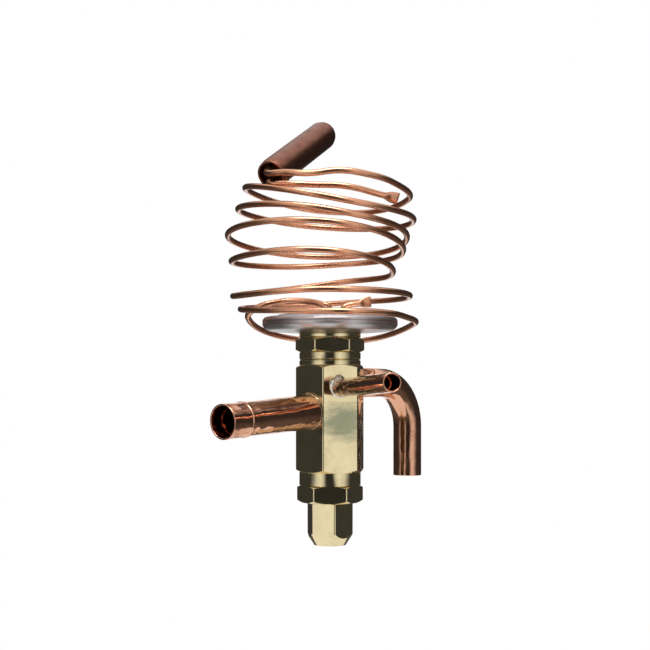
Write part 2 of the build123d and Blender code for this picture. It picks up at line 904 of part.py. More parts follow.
# ---------------------------------------------------------------- capillary
# One row for each turn, from the top down: height in front, reach and height at the right, height at
# the back, reach and height at the left, all in the coil's frame, with heights over the cover.
turns = (
    (None, 31.8, 47.0, 46.6, 34.5, 51.5),
    (42.9, 34.0, 38.3, 39.6, 37.4, 42.8),
    (38.2, 31.3, 31.1, 27.0, 41.6, 32.0),
    (33.6, 29.8, 26.0, 23.4, 40.1, 21.6),
    (22.6, 25.6, 17.2, 15.4, 39.5, 7.7),
    (8.0, 32.5, 7.5, 6.6, 36.4, 2.4),
    (-2.2, 34.3, -3.6, -9.8, 33.4, -1.2),
)
from_bulb = (
    wound(-17.0, -29.5, 53.2),
    wound(-8.0, -33.0, 52.3),
    wound(4.0, -34.0, 53.7),
    wound(14.0, -31.0, 52.8),
    wound(24.0, -23.0, 50.6),
)
to_head = (
    wound(-30.0, -5.5, 2.2),
    wound(-22.0, -6.5, 4.6),
    wound(-12.0, -4.0, 5.4),
)
corners = list(from_bulb)
for front, right_reach, right, back, left_reach, left in turns:
    if front is not None:
        corners.append(wound(0, -coil_depth, front))
    corners.append(wound(right_reach, 0, right))
    corners.append(wound(0, coil_depth, back))
    corners.append(wound(-left_reach, 0, left))
corners += to_head

head_turn_height = braze_leg + head_bend
with BuildLine() as winding:
    Spline(
        capillary_exit + bulb_direction,
        capillary_exit - bulb_direction * capillary_diameter,
        *corners,
        wound(-head_bend, 0, head_turn_height),
    )
run_length = 9.0
runs = round(winding.edges()[0].length / run_length)
head_corners = [
    wound(
        head_bend * (sin(radians(angle)) - 1),
        0,
        head_turn_height + head_bend * (cos(radians(angle)) - 1),
    )
    for angle in (30, 60, 90)
]
capillary_route = [
    capillary_exit + bulb_direction * (plug_end + socket_stop),
    *(winding.line @ (step / runs) for step in range(runs + 1)),
    *head_corners,
    wound(0, 0, -shell_metal - socket_stop),
]
with BuildPart() as capillary_tube:
    add(wire(capillary_route, capillary_diameter, tube_sides))
capillary_tube.part.label = "capillary_tube"

# A cone of filler metal holds the capillary in the cover.
with BuildPart() as capillary_braze:
    root = capillary_diameter / 2 + braze_gap
    add(
        upright(
            (root, cover_top),
            (root + braze_leg * 0.8, cover_top),
            (root + braze_leg * 0.25, cover_top + braze_leg * 0.5),
            (root, cover_top + braze_leg),
        )
    )
capillary_braze.part.label = "capillary_braze"


# ---------------------------------------------------------------- pinched charging tails
def squeezed_section(width, thickness):
    """The corners of a squeezed tube's section."""
    return [
        (side * width / across, rise * thickness / up)
        for side, rise, across, up in (
            (1, 1, 2, 5),
            (1, 1, 5, 2),
            (-1, 1, 5, 2),
            (-1, 1, 2, 5),
            (-1, -1, 2, 5),
            (-1, -1, 5, 2),
            (1, -1, 5, 2),
            (1, -1, 2, 5),
        )
    ]


def pinched_tail(route, flat_side):
    """A short length of tube that ends in a flattened, widened and sealed fishtail."""
    end = Vector(*route[-1])
    onward = (end - Vector(*route[-2])).normalized()
    across = flat_side.cross(onward).normalized()
    with BuildPart() as tail:
        add(wire(route, capillary_diameter, tube_sides))
        neck = capillary_diameter * cos(pi / tube_sides)
        for distance, width, thickness in (
            (0, neck, neck),
            (fishtail_length / 2, fishtail_width * 0.8, fishtail_thickness),
            (fishtail_length, fishtail_width, fishtail_thickness),
        ):
            with BuildSketch(Plane(origin=end + onward * distance, x_dir=across, z_dir=onward)):
                Polygon(*squeezed_section(width, thickness), align=None)
        loft(ruled=True)
    return tail.part


with BuildLine() as tail_line:
    Spline(
        tail_exit + bulb_direction,
        tail_exit - bulb_direction * capillary_diameter,
        wound(-17.5, -24.6, 49.6),
        wound(-8.0, -26.2, 49.0),
        wound(6.0, -26.0, 48.4),
        wound(19.5, -21.5, 46.0),
    )
tail_runs = 12
tail_route = [
    tail_exit + bulb_direction * (plug_end + socket_stop),
    *(tail_line.line @ (step / tail_runs) for step in range(tail_runs + 1)),
]
with BuildPart() as bulb_charge_tail:
    add(pinched_tail(tail_route, toward(-0.2, 1, 0.5)))
bulb_charge_tail.part.label = "bulb_charge_tail"

stub_side = toward(1, 0.35, 0)
stub_route = [
    stub_foot - Vector(0, 0, shell_metal + socket_stop),
    *(
        stub_foot
        + Vector(0, 0, braze_leg + stub_bend * sin(radians(angle)))
        + stub_side * stub_bend * (1 - cos(radians(angle)))
        for angle in (0, 30, 60, 80)
    ),
]
stub_route.append(stub_route[-1] + stub_side * stub_run + Vector(0, 0, stub_lift))
with BuildPart() as head_charge_stub:
    add(pinched_tail(stub_route, toward(0, 1, 0.2)))
head_charge_stub.part.label = "head_charge_stub"

os.makedirs("parts", exist_ok=True)
for piece in (
    valve_body,
    bottom_nut,
    bottom_gasket,
    seal_cap,
    cap_gasket,
    adjusting_spindle,
    spindle_o_rings,
    spring_seat,
    superheat_spring,
    pin_carrier,
    valve_stem,
    orifice_seat,
    stem_seal,
    power_head_nut,
    power_head_base,
    power_head_cover,
    diaphragm,
    diaphragm_pad,
    outlet_tube,
    equalizer_tube,
    inlet_tube,
    outlet_braze,
    inlet_braze,
    equalizer_braze,
    inlet_strainer,
    sensing_bulb,
    bulb_plug,
    capillary_tube,
    capillary_braze,
    bulb_charge_tail,
    head_charge_stub,
):
    export_step(piece.part, f"parts/{piece.part.label}.step")
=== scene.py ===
import json
from math import cos, pi, radians, sin, tau

import bmesh
import bpy
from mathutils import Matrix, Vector, noise

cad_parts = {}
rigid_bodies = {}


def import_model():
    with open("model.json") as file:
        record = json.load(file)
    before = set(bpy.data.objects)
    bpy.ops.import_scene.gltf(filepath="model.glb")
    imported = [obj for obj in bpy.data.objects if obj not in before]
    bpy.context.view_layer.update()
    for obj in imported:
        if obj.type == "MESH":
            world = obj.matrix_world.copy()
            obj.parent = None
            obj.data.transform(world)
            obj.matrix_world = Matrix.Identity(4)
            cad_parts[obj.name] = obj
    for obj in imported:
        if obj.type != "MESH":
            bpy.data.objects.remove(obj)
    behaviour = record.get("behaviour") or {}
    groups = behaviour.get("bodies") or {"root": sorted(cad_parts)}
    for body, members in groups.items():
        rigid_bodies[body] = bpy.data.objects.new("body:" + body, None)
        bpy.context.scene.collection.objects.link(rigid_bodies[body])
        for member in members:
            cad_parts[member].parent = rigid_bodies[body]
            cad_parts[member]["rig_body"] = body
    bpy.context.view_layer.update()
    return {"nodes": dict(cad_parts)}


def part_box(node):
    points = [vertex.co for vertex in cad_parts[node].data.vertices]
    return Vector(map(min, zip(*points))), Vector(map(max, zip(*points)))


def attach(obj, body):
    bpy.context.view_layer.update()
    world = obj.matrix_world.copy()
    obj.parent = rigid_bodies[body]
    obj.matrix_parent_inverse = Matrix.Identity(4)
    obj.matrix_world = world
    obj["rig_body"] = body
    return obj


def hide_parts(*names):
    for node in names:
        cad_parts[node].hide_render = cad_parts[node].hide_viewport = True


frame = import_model()
nodes = frame["nodes"]
MM = 0.001

# ---------------------------------------------------------------- camera
# The valve is seen level with its inlet's lower end, from the side between the outlet and the
# equalizer tube, so that the outlet comes forward on the left and the inlet hangs at the right.
view_turn = radians(-49)
view_distance = 0.520
camera_height = 0.065
camera_side_step = 0.00204
focal_length_px = 1276.0
image_size_px = 650.0
horizon_px = 385.0
sensor_width = 36.0

to_right = Vector((cos(view_turn), sin(view_turn), 0))
to_camera = Vector((sin(view_turn), -cos(view_turn), 0))


def put_in_scene(name, data):
    """An object that shows this camera, lamp, mesh or curve."""
    piece = bpy.data.objects.new(name, data)
    bpy.context.scene.collection.objects.link(piece)
    return piece


camera_data = bpy.data.cameras.new("camera")
camera_data.sensor_width = sensor_width
camera_data.lens = focal_length_px * sensor_width / image_size_px
camera_data.shift_y = (horizon_px - image_size_px / 2) / image_size_px
camera_data.clip_start = 0.01
camera = put_in_scene("camera", camera_data)
camera.location = (
    to_camera * view_distance - to_right * camera_side_step + Vector((0, 0, camera_height))
)
camera.rotation_euler = (radians(90), 0, view_turn)
bpy.context.scene.camera = camera


# ---------------------------------------------------------------- valve body
# One turning of hexagonal brass bar, drawn bright and marked by handling, its corners broken to a
# fine line. A dark olive reflection is painted as a patch on the flat that faces the camera. The seats
# of the three tubes are bored into its flats.
def link(tree, start, end):
    """Joins two sockets of a node tree."""
    tree.links.new(start, end)


def shader_group(name, inputs, outputs):
    """An empty node group with its named sockets, and the nodes that carry them."""
    group = bpy.data.node_groups.new(name, "ShaderNodeTree")
    for socket, kind, value in inputs:
        made = group.interface.new_socket(socket, in_out="INPUT", socket_type=kind)
        if value is not None:
            made.default_value = value
    for socket, kind in outputs:
        group.interface.new_socket(socket, in_out="OUTPUT", socket_type=kind)
    return group, group.nodes.new("NodeGroupInput"), group.nodes.new("NodeGroupOutput")


def reckon(tree, operation, *values):
    """A Math node of values or sockets."""
    node = tree.nodes.new("ShaderNodeMath")
    node.operation = operation
    for socket, value in zip(node.inputs, values):
        if isinstance(value, (int, float)):
            socket.default_value = value
        else:
            link(tree, value, socket)
    return node.outputs[0]


def cloud(tree, vector, scale, detail, roughness=0.5):
    """The grey value of a noise texture."""
    node = tree.nodes.new("ShaderNodeTexNoise")
    node.inputs["Detail"].default_value = detail
    node.inputs["Roughness"].default_value = roughness
    if isinstance(scale, (int, float)):
        node.inputs["Scale"].default_value = scale
    else:
        link(tree, scale, node.inputs["Scale"])
    link(tree, vector, node.inputs["Vector"])
    return node.outputs["Fac"]


def spread(tree, value, low, high):
    """Stretches a value so that low becomes 0 and high becomes 1."""
    node = tree.nodes.new("ShaderNodeMapRange")
    node.inputs["From Min"].default_value = low
    node.inputs["From Max"].default_value = high
    link(tree, value, node.inputs["Value"])
    return node.outputs["Result"]


def build_handling_marks():
    """Cloudy stains and fingerprints left on bare metal: a mask from 0, clean, to 1, dull."""
    group, entry, leave = shader_group(
        "handling_marks",
        [("Vector", "NodeSocketVector", None), ("Size", "NodeSocketFloat", 0.012)],
        [("Mask", "NodeSocketFloat"), ("Height", "NodeSocketFloat")],
    )
    vector = entry.outputs["Vector"]
    scale = reckon(group, "DIVIDE", 1.0, entry.outputs["Size"])
    broad = cloud(group, vector, scale, 6, 0.62)
    fine = cloud(group, vector, reckon(group, "MULTIPLY", scale, 9.0), 4)
    smooth = cloud(group, vector, reckon(group, "MULTIPLY", scale, 1.3), 1)
    stains = reckon(group, "MULTIPLY", spread(group, broad, 0.45, 0.75), spread(group, fine, 0.25, 0.7))
    link(group, stains, leave.inputs["Mask"])
    link(group, smooth, leave.inputs["Height"])
    return group


def build_fine_lines():
    """Fine lines that drawing, turning and wiping leave: noise pulled out along one direction."""
    group, entry, leave = shader_group(
        "fine_lines",
        [("Vector", "NodeSocketVector", None), ("Across", "NodeSocketVector", (1500, 1500, 60))],
        [("Mask", "NodeSocketFloat"), ("Height", "NodeSocketFloat")],
    )
    pulled = group.nodes.new("ShaderNodeVectorMath")
    pulled.operation = "MULTIPLY"
    link(group, entry.outputs["Vector"], pulled.inputs[0])
    link(group, entry.outputs["Across"], pulled.inputs[1])
    lines = cloud(group, pulled.outputs[0], 1.0, 5, 0.7)
    link(group, spread(group, lines, 0.58, 0.72), leave.inputs["Mask"])
    link(group, lines, leave.inputs["Height"])
    return group


handling_marks = build_handling_marks()
fine_lines = build_fine_lines()


def place_group(tree, group, **values):
    """One use of a node group, fed with the object's own coordinates."""
    node = tree.nodes.new("ShaderNodeGroup")
    node.node_tree = group
    for name, value in values.items():
        node.inputs[name].default_value = value
    link(tree, tree.nodes.new("ShaderNodeTexCoord").outputs["Object"], node.inputs["Vector"])
    return node


def two_colours(tree, mask, clean, dull):
    """The clean colour where the mask is 0 and the dull one where it is 1."""
    node = tree.nodes.new("ShaderNodeMix")
    node.data_type = "RGBA"
    node.inputs[6].default_value = (*clean, 1)
    node.inputs[7].default_value = (*dull, 1)
    link(tree, mask, node.inputs[0])
    return node.outputs[2]


def bare_metal(name, clean, dull, gloss, dulled, mark_size, lines, line_depth, wave_depth):
    """Bare metal: two colours mixed by handling marks, roughness raised where it is marked, and a bump
    of fine lines over long shallow waves."""
    material = bpy.data.materials.new(name)
    material.use_nodes = True
    tree = material.node_tree
    shader = tree.nodes["Principled BSDF"]
    shader.inputs["Metallic"].default_value = 1.0
    marks = place_group(tree, handling_marks, Size=mark_size)
    drawn = place_group(tree, fine_lines, Across=lines)
    link(tree, two_colours(tree, marks.outputs["Mask"], clean, dull), shader.inputs["Base Color"])
    scuffs = reckon(tree, "MULTIPLY", drawn.outputs["Mask"], 0.25)
    worn = reckon(tree, "ADD", marks.outputs["Mask"], scuffs)
    link(tree, reckon(tree, "MULTIPLY_ADD", worn, dulled - gloss, gloss), shader.inputs["Roughness"])
    waves = tree.nodes.new("ShaderNodeBump")
    waves.inputs["Distance"].default_value = wave_depth
    link(tree, marks.outputs["Height"], waves.inputs["Height"])
    ripple = tree.nodes.new("ShaderNodeBump")
    ripple.inputs["Distance"].default_value = line_depth
    link(tree, drawn.outputs["Height"], ripple.inputs["Height"])
    link(tree, waves.outputs["Normal"], ripple.inputs["Normal"])
    link(tree, ripple.outputs["Normal"], shader.inputs["Normal"])
    return material


def stand_for(piece, node, slot, *materials):
    """A dressed piece takes the place and the body of a node, which it hides, and these materials. The
    slot argument is not used.
    """
    piece.data.materials.clear()
    for material in materials:
        piece.data.materials.append(material)
    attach(piece, nodes[node]["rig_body"])
    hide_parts(node)
    return piece


collar_radius = 12.5 * MM
edge_break = 0.25 * MM
joint_chamfer = 0.4 * MM
upright_corner = 2.5 * MM


def outer_edge(work, height):
    """The edges that lie round the collar's rim at this height."""
    return [
        edge
        for edge in work.edges
        if all(
            abs(corner.co.z - height) < 0.02 * MM and corner.co.xy.length > 0.96 * collar_radius
            for corner in edge.verts
        )
    ]


def softened(node, material, corner_width, joint=None):
    """The solid's own form with its facets joined and its sharp edges broken to a small radius. The
    long upright corners of a hexagon are broken wider. The outer edge at the height of a joint is
    chamfered, so that the joint shows as a fine groove."""
    mesh = nodes[node].data.copy()
    mesh.name = node + "_dressed"
    work = bmesh.new()
    work.from_mesh(mesh)
    bmesh.ops.remove_doubles(work, verts=work.verts, dist=1e-6)
    bmesh.ops.dissolve_limit(work, angle_limit=radians(0.5), verts=work.verts, edges=work.edges)
    if joint is not None:
        rim_edges = outer_edge(work, joint)
        bmesh.ops.bevel(
            work, geom=rim_edges, offset=joint_chamfer, segments=1, affect="EDGES", clamp_overlap=False
        )
    wide = work.edges.layers.float.new("bevel_weight_edge")
    for edge in work.edges:
        rise = abs(edge.verts[0].co.z - edge.verts[1].co.z)
        if len(edge.link_faces) == 2 and edge.calc_face_angle() > radians(30):
            edge[wide] = float(rise > upright_corner and rise > 0.99 * edge.calc_length())
    work.to_mesh(mesh)
    work.free()
    mesh.shade_smooth()
    piece = put_in_scene(node + "_dressed", mesh)
    corners = piece.modifiers.new("broken_corners", "BEVEL")
    corners.width = corner_width
    corners.segments = 4
    corners.limit_method = "WEIGHT"
    corners.use_clamp_overlap = False
    bevel = piece.modifiers.new("broken_edges", "BEVEL")
    bevel.width = edge_break
    bevel.segments = 2
    bevel.limit_method = "ANGLE"
    bevel.angle_limit = radians(24)
    bevel.use_clamp_overlap = True
    level = piece.modifiers.new("level_faces", "WEIGHTED_NORMAL")
    level.mode = "FACE_AREA"
    level.weight = 100
    return stand_for(piece, node, "polished_brass", material)


def paint_dark_reflection(material, centre, reach, colour):
    """A painted reflection: a soft dark patch of this colour laid over the metal's colour around one
    place, its edge made ragged by stretched noise.
    """
    tree = material.node_tree
    shader = tree.nodes["Principled BSDF"]
    metal = shader.inputs["Base Color"].links[0].from_socket
    place = tree.nodes.new("ShaderNodeTexCoord").outputs["Object"]
    away = tree.nodes.new("ShaderNodeVectorMath")
    away.operation = "SUBTRACT"
    link(tree, place, away.inputs[0])
    away.inputs[1].default_value = centre
    scaled = tree.nodes.new("ShaderNodeVectorMath")
    scaled.operation = "DIVIDE"
    link(tree, away.outputs[0], scaled.inputs[0])
    scaled.inputs[1].default_value = reach
    far = tree.nodes.new("ShaderNodeVectorMath")
    far.operation = "LENGTH"
    link(tree, scaled.outputs[0], far.inputs[0])
    stretched_place = tree.nodes.new("ShaderNodeVectorMath")
    stretched_place.operation = "MULTIPLY"
    link(tree, place, stretched_place.inputs[0])
    stretched_place.inputs[1].default_value = (90, 90, 420)
    ragged = cloud(tree, stretched_place.outputs[0], 1.0, 7, 0.65)
    edge = reckon(tree, "MULTIPLY_ADD", ragged, -1.7, far.outputs["Value"])
    reflection_mix = tree.nodes.new("ShaderNodeMix")
    reflection_mix.data_type = "RGBA"
    link(tree, spread(tree, edge, 0.4, -0.35), reflection_mix.inputs[0])
    link(tree, metal, reflection_mix.inputs[6])
    reflection_mix.inputs[7].default_value = (*colour, 1)
    link(tree, reflection_mix.outputs[2], shader.inputs["Base Color"])


def brass(name):
    """Bright yellow brass with fine turning lines."""
    return bare_metal(
        name,
        clean=(0.80, 0.68, 0.41),
        dull=(0.50, 0.42, 0.24),
        gloss=0.05,
        dulled=0.24,
        mark_size=0.013,
        lines=(260, 260, 2600),
        line_depth=0.0000012,
        wave_depth=0.00045,
    )


half_flats = 12.7 * MM
# The dark olive patch laid on the body is a painted reflection, placed on the flat that faces the
# camera in place of the dark band that the polished flat reflects.
reflection_patch_turn = radians(19)
reflection_patch_height = 50.5 * MM
reflection_patch_flat = to_camera * cos(reflection_patch_turn) + to_right * sin(reflection_patch_turn)
reflection_patch_place = reflection_patch_flat * half_flats + to_right * 1.5 * MM + Vector((0, 0, reflection_patch_height))
reflection_patch_reach = (10 * MM, 10 * MM, 7.5 * MM)
reflected_olive = (0.31, 0.31, 0.20)
brass_with_painted_reflection = brass("polished_brass_painted_reflection")
paint_dark_reflection(brass_with_painted_reflection, reflection_patch_place, reflection_patch_reach, reflected_olive)
head_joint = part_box("power_head_nut")[0].z
softened("valve_body", brass_with_painted_reflection, 0.45 * MM, head_joint)

# ---------------------------------------------------------------- nuts and cap
# The bottom nut, the seal cap and the nut of the power head are turned from hexagonal brass bar like
# the body, and screwed to it.
polished_brass = brass("polished_brass")
softened("bottom_nut", polished_brass, 0.9 * MM)
softened("seal_cap", polished_brass, 0.6 * MM)
softened("power_head_nut", polished_brass, 0.8 * MM, head_joint)


# ---------------------------------------------------------------- power head
# Two dished shells of stainless sheet, which hold the diaphragm between them. They are pressed and
# spun to shape, so that fine rings run round them, and welded at the rim around the diaphragm's edge.
def rounded(outline, radius, steps=4):
    """An outline of (along, radius) points whose corners are drawn as short curves."""
    points = [Vector(p) for p in outline]
    smooth = []
    for index, corner in enumerate(points):
        before, after = points[index - 1], points[(index + 1) % len(points)]
        back, onward = before - corner, after - corner
        cut = min(radius, back.length * 0.45, onward.length * 0.45)
        start = corner + back.normalized() * cut
        end = corner + onward.normalized() * cut
        for step in range(steps + 1):
            t = step / steps
            smooth.append(start * (1 - t) ** 2 + corner * 2 * t * (1 - t) + end * t**2)
    return smooth


def smooth_mesh(name, vertices, faces):
    """A smooth-shaded mesh of these corners and faces."""
    mesh = bpy.data.meshes.new(name)
    mesh.from_pydata([tuple(v) for v in vertices], [], faces)
    mesh.shade_smooth()
    return mesh


def face_outward(mesh):
    """Turns every face of a closed mesh outward."""
    work = bmesh.new()
    work.from_mesh(mesh)
    bmesh.ops.recalc_face_normals(work, faces=work.faces)
    work.to_mesh(mesh)
    work.free()


def spun(name, outline, place, sides=96, bore=0):
    """A closed outline of (along, radius) points carried round a line. place gives, for a distance
    along it, the line's point, its direction and a direction across it. Strips that lie within the
    bore's radius take the second material, which paints shade into the bore."""
    rings, faces, dark = [], [], []
    for distance, radius in outline:
        centre, onward, across = place(distance)
        up = onward.cross(across)
        if radius < 1e-7:
            rings.append([centre])
            continue
        rings.append(
            [
                centre + (across * cos(tau * side / sides) + up * sin(tau * side / sides)) * radius
                for side in range(sides)
            ]
        )
    starts, vertices = [], []
    for ring in rings:
        starts.append(len(vertices))
        vertices += ring
    count = len(rings)
    for index in range(count):
        near, far = index, (index + 1) % count
        here, there = starts[near], starts[far]
        inner = max(outline[near][1], outline[far][1]) < bore
        for side in range(sides):
            turn = (side + 1) % sides
            dark.append(inner)
            if len(rings[near]) == 1 and len(rings[far]) == 1:
                dark.pop()
                break
            if len(rings[near]) == 1:
                faces.append((here, there + side, there + turn))
            elif len(rings[far]) == 1:
                faces.append((here + turn, here + side, there))
            else:
                faces.append((here + turn, here + side, there + side, there + turn))
    mesh = smooth_mesh(name, vertices, faces)
    for polygon, inner in zip(mesh.polygons, dark):
        polygon.material_index = int(inner)
    face_outward(mesh)
    return put_in_scene(name, mesh)


def straight(origin, direction):
    """The place function of a straight line."""
    onward = Vector(direction).normalized()
    side = Vector((0, 0, 1)) if abs(onward.z) < 0.9 else Vector((1, 0, 0))
    across = side.cross(onward).normalized()

    def place(distance):
        return Vector(origin) + onward * distance, onward, across

    return place


stainless = bare_metal(
    "stainless_shell",
    clean=(0.64, 0.60, 0.61),
    dull=(0.40, 0.37, 0.38),
    gloss=0.30,
    dulled=0.40,
    mark_size=0.018,
    lines=(300, 300, 5000),
    line_depth=0.000003,
    wave_depth=0.0003,
)


def roughen(material, height, distance):
    """One more bump, laid over those that the material has."""
    tree = material.node_tree
    shader = tree.nodes["Principled BSDF"]
    before = shader.inputs["Normal"].links[0].from_socket
    bump = tree.nodes.new("ShaderNodeBump")
    bump.inputs["Distance"].default_value = distance
    link(tree, height, bump.inputs["Height"])
    link(tree, before, bump.inputs["Normal"])
    link(tree, bump.outputs["Normal"], shader.inputs["Normal"])


def build_spun_lines():
    """Fine rings about the upright axis, left by spinning and pressing."""
    group, entry, leave = shader_group(
        "spun_lines",
        [("Vector", "NodeSocketVector", None), ("Fineness", "NodeSocketFloat", 2500)],
        [("Height", "NodeSocketFloat")],
    )
    parts = group.nodes.new("ShaderNodeSeparateXYZ")
    link(group, entry.outputs["Vector"], parts.inputs[0])
    flat = group.nodes.new("ShaderNodeCombineXYZ")
    link(group, parts.outputs["X"], flat.inputs["X"])
    link(group, parts.outputs["Y"], flat.inputs["Y"])
    out = group.nodes.new("ShaderNodeVectorMath")
    out.operation = "LENGTH"
    link(group, flat.outputs[0], out.inputs[0])
    ring = group.nodes.new("ShaderNodeCombineXYZ")
    link(group, out.outputs["Value"], ring.inputs["X"])
    link(group, parts.outputs["Z"], ring.inputs["Y"])
    link(group, cloud(group, ring.outputs[0], entry.outputs["Fineness"], 2), leave.inputs["Height"])
    return group


spun_lines = build_spun_lines()
spun_marks = place_group(stainless.node_tree, spun_lines, Fineness=2500)
roughen(stainless, spun_marks.outputs["Height"], 0.00022)
base_low, base_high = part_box("power_head_base")
cover_low, cover_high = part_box("power_head_cover")
head_axis = straight((0, 0, 0), (0, 0, 1))
rim = base_high.x
weld_gap = 0.15 * MM
flange = rim - 4.6 * MM
neck = 12.3 * MM
opening = 6.5 * MM
sheet = 1.2 * MM
bowl_bottom = base_low.z + 0.4 * MM
rim_bottom = base_low.z + 1.2 * MM
rim_top = base_low.z + 7.0 * MM
upper_round = 2.0 * MM
lower_round_depth = 3.2 * MM
lower_round_width = 4.2 * MM


def rolled_rim(level, inward, depth, width):
    """The quarter round of a shell's rim, from its flat face out to the weld."""
    quarter = [pi / 2 * step / 10 for step in range(11)]
    return [(level + inward * depth * (1 - cos(t)), rim - width * (1 - sin(t))) for t in quarter]


base_outline = [
    (bowl_bottom, opening),
    (bowl_bottom, neck),
    *rolled_rim(rim_bottom, 1, lower_round_depth, lower_round_width),
    (base_high.z, rim - weld_gap),
    (base_high.z, flange),
    (base_low.z + 3.2 * MM, flange - 0.3 * MM),
    (bowl_bottom + sheet, neck),
    (bowl_bottom + sheet, opening),
]
stand_for(
    spun("power_head_base_dressed", base_outline, head_axis, 160),
    "power_head_base",
    "stainless_shell",
    stainless,
)
crown = 21.0 * MM
tube_hole = 1.27 * MM
cover_outline = [
    (cover_low.z, flange),
    (cover_low.z, rim - weld_gap),
    *reversed(rolled_rim(rim_top, -1, upper_round, upper_round)),
    (rim_top - 0.35 * MM, rim - 4.0 * MM),
    (rim_top - 0.1 * MM, crown + 2.0 * MM),
    (cover_high.z - 0.2 * MM, crown + 0.4 * MM),
    (cover_high.z, crown - 1.5 * MM),
    (cover_high.z, tube_hole),
    (cover_high.z - sheet, tube_hole),
    (cover_high.z - sheet, flange - 0.6 * MM),
]
stand_for(
    spun("power_head_cover_dressed", cover_outline, head_axis, 160),
    "power_head_cover",
    "stainless_shell",
    stainless,
)

# ---------------------------------------------------------------- collar under the power head
# The nut's own brass goes on above its hexagon as a turned collar, which the lower shell sits on and
# is brazed to. It hides the seam between the two.
collar_low = base_low.z - 1.3 * MM
collar_bore = 9.0 * MM
collar_outline = rounded(
    [
        (collar_low, collar_bore),
        (collar_low, collar_radius),
        (bowl_bottom, collar_radius),
        (bowl_bottom, collar_bore),
    ],
    0.3 * MM,
)
collar = spun("power_head_collar", collar_outline, head_axis, 128)
collar.data.materials.append(polished_brass)
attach(collar, nodes["power_head_nut"]["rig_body"])

# ---------------------------------------------------------------- outlet and equalizer tubes
# Drawn copper tube, polished by handling, brazed into the body. Each open end is widened or bored to
# a socket for the pipe that is brazed into it.
drawn_copper = bare_metal(
    "drawn_copper",
    clean=(0.74, 0.40, 0.26),
    dull=(0.36, 0.15, 0.095),
    gloss=0.07,
    dulled=0.28,
    mark_size=0.009,
    lines=(1200, 1200, 1200),
    line_depth=0.000002,
    wave_depth=0.0004,
)
# Near-black copper for the insides of the bores and the bulb's plug: painted shade, where the hollows
# of the tubes fall dark.
shaded_bore_copper = bare_metal(
    "shaded_bore_copper",
    clean=(0.08, 0.038, 0.024),
    dull=(0.035, 0.018, 0.012),
    gloss=0.6,
    dulled=0.8,
    mark_size=0.006,
    lines=(600, 600, 600),
    line_depth=0.00001,
    wave_depth=0.0002,
)


tube_rim_round = 0.3 * MM
bore_shade = 0.1


def bored_tube(name, origin, direction, outline, bore):
    """A tube turned from an outline of (along, radius) in millimetres, its rims slightly rounded."""
    shape = rounded([(along * MM, radius * MM) for along, radius in outline], tube_rim_round, 3)
    tube = spun(name + "_dressed", shape, straight(origin, direction), 72, (bore + bore_shade) * MM)
    return stand_for(tube, name, "copper_tube", drawn_copper, shaded_bore_copper)


tube_seat = 3.5
outlet_height = 54.22 * MM
outlet_droop = radians(3.5)
outlet_length = 48.6
outlet_bore = 5.6
outlet_socket_bore = 6.1
outlet_socket = 6.75
outlet_bead = 6.98
outlet_body = 7.0
outlet_root = Vector((-half_flats, 0, outlet_height))
outlet_direction = Vector((-cos(outlet_droop), 0, -sin(outlet_droop)))
# The seat in the body, the tapered run, the bead that stops the socket, and back along the bore.
outlet_outline = (
    (-tube_seat, outlet_bore),
    (-tube_seat, outlet_body),
    (3.5, outlet_body),
    (36.4, 6.62),
    (37.4, 6.64),
    (37.8, outlet_bead),
    (38.6, outlet_bead),
    (39.0, outlet_socket),
    (45.5, outlet_socket),
    (outlet_length, 6.8),
    (outlet_length, outlet_socket_bore),
    (35.1, outlet_socket_bore - 0.05),
    (34.6, outlet_bore),
)
bored_tube("outlet_tube", outlet_root, outlet_direction, outlet_outline, outlet_socket_bore)
equalizer_height = 63.8 * MM
equalizer_turn = radians(240)
equalizer_rise = radians(2.2)
equalizer_length = 55.0
equalizer_radius = 3.65
equalizer_bore = 2.45
equalizer_socket_bore = 3.05
equalizer_side = Vector((cos(equalizer_turn), sin(equalizer_turn), 0))
equalizer_root = equalizer_side * half_flats + Vector((0, 0, equalizer_height))
equalizer_direction = equalizer_side * cos(equalizer_rise) + Vector((0, 0, sin(equalizer_rise)))
equalizer_outline = (
    (-tube_seat, equalizer_bore),
    (-tube_seat, equalizer_radius),
    (46.0, equalizer_radius),
    (equalizer_length, equalizer_radius),
    (equalizer_length, equalizer_socket_bore),
    (47.0, equalizer_socket_bore),
    (46.5, equalizer_bore),
)
bored_tube(
    "equalizer_tube", equalizer_root, equalizer_direction, equalizer_outline, equalizer_socket_bore
)

# ---------------------------------------------------------------- inlet tube
# The same copper tube, brazed into the flat opposite the outlet. It is bent down through a right angle
# on a mandrel and bored at its lower end for the liquid line.
inlet_low, inlet_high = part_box("inlet_tube")
inlet_radius = (inlet_high.y - inlet_low.y) / 2
inlet_reach = inlet_high.x - inlet_radius
inlet_height = inlet_high.z - inlet_radius
inlet_bend = 19.0 * MM
inlet_bore = 4.5 * MM
inlet_socket_bore = 5.05 * MM
inlet_socket_depth = 10.0 * MM
first_run = inlet_reach - inlet_bend - inlet_low.x
bend_length = inlet_bend * pi / 2
inlet_length = first_run + bend_length + inlet_height - inlet_bend - inlet_low.z


def inlet_line(distance):
    """Along the inlet: level out of the body, round the bend and straight down."""
    across = Vector((0, 1, 0))
    if distance < first_run:
        return Vector((inlet_low.x + distance, 0, inlet_height)), Vector((1, 0, 0)), across
    if distance < first_run + bend_length:
        turn = (distance - first_run) / inlet_bend
        centre = Vector((inlet_reach - inlet_bend, 0, inlet_height - inlet_bend))
        spoke = Vector((sin(turn), 0, cos(turn)))
        return centre + spoke * inlet_bend, Vector((cos(turn), 0, -sin(turn))), across
    drop = distance - first_run - bend_length
    return Vector((inlet_reach, 0, inlet_height - inlet_bend - drop)), Vector((0, 0, -1)), across


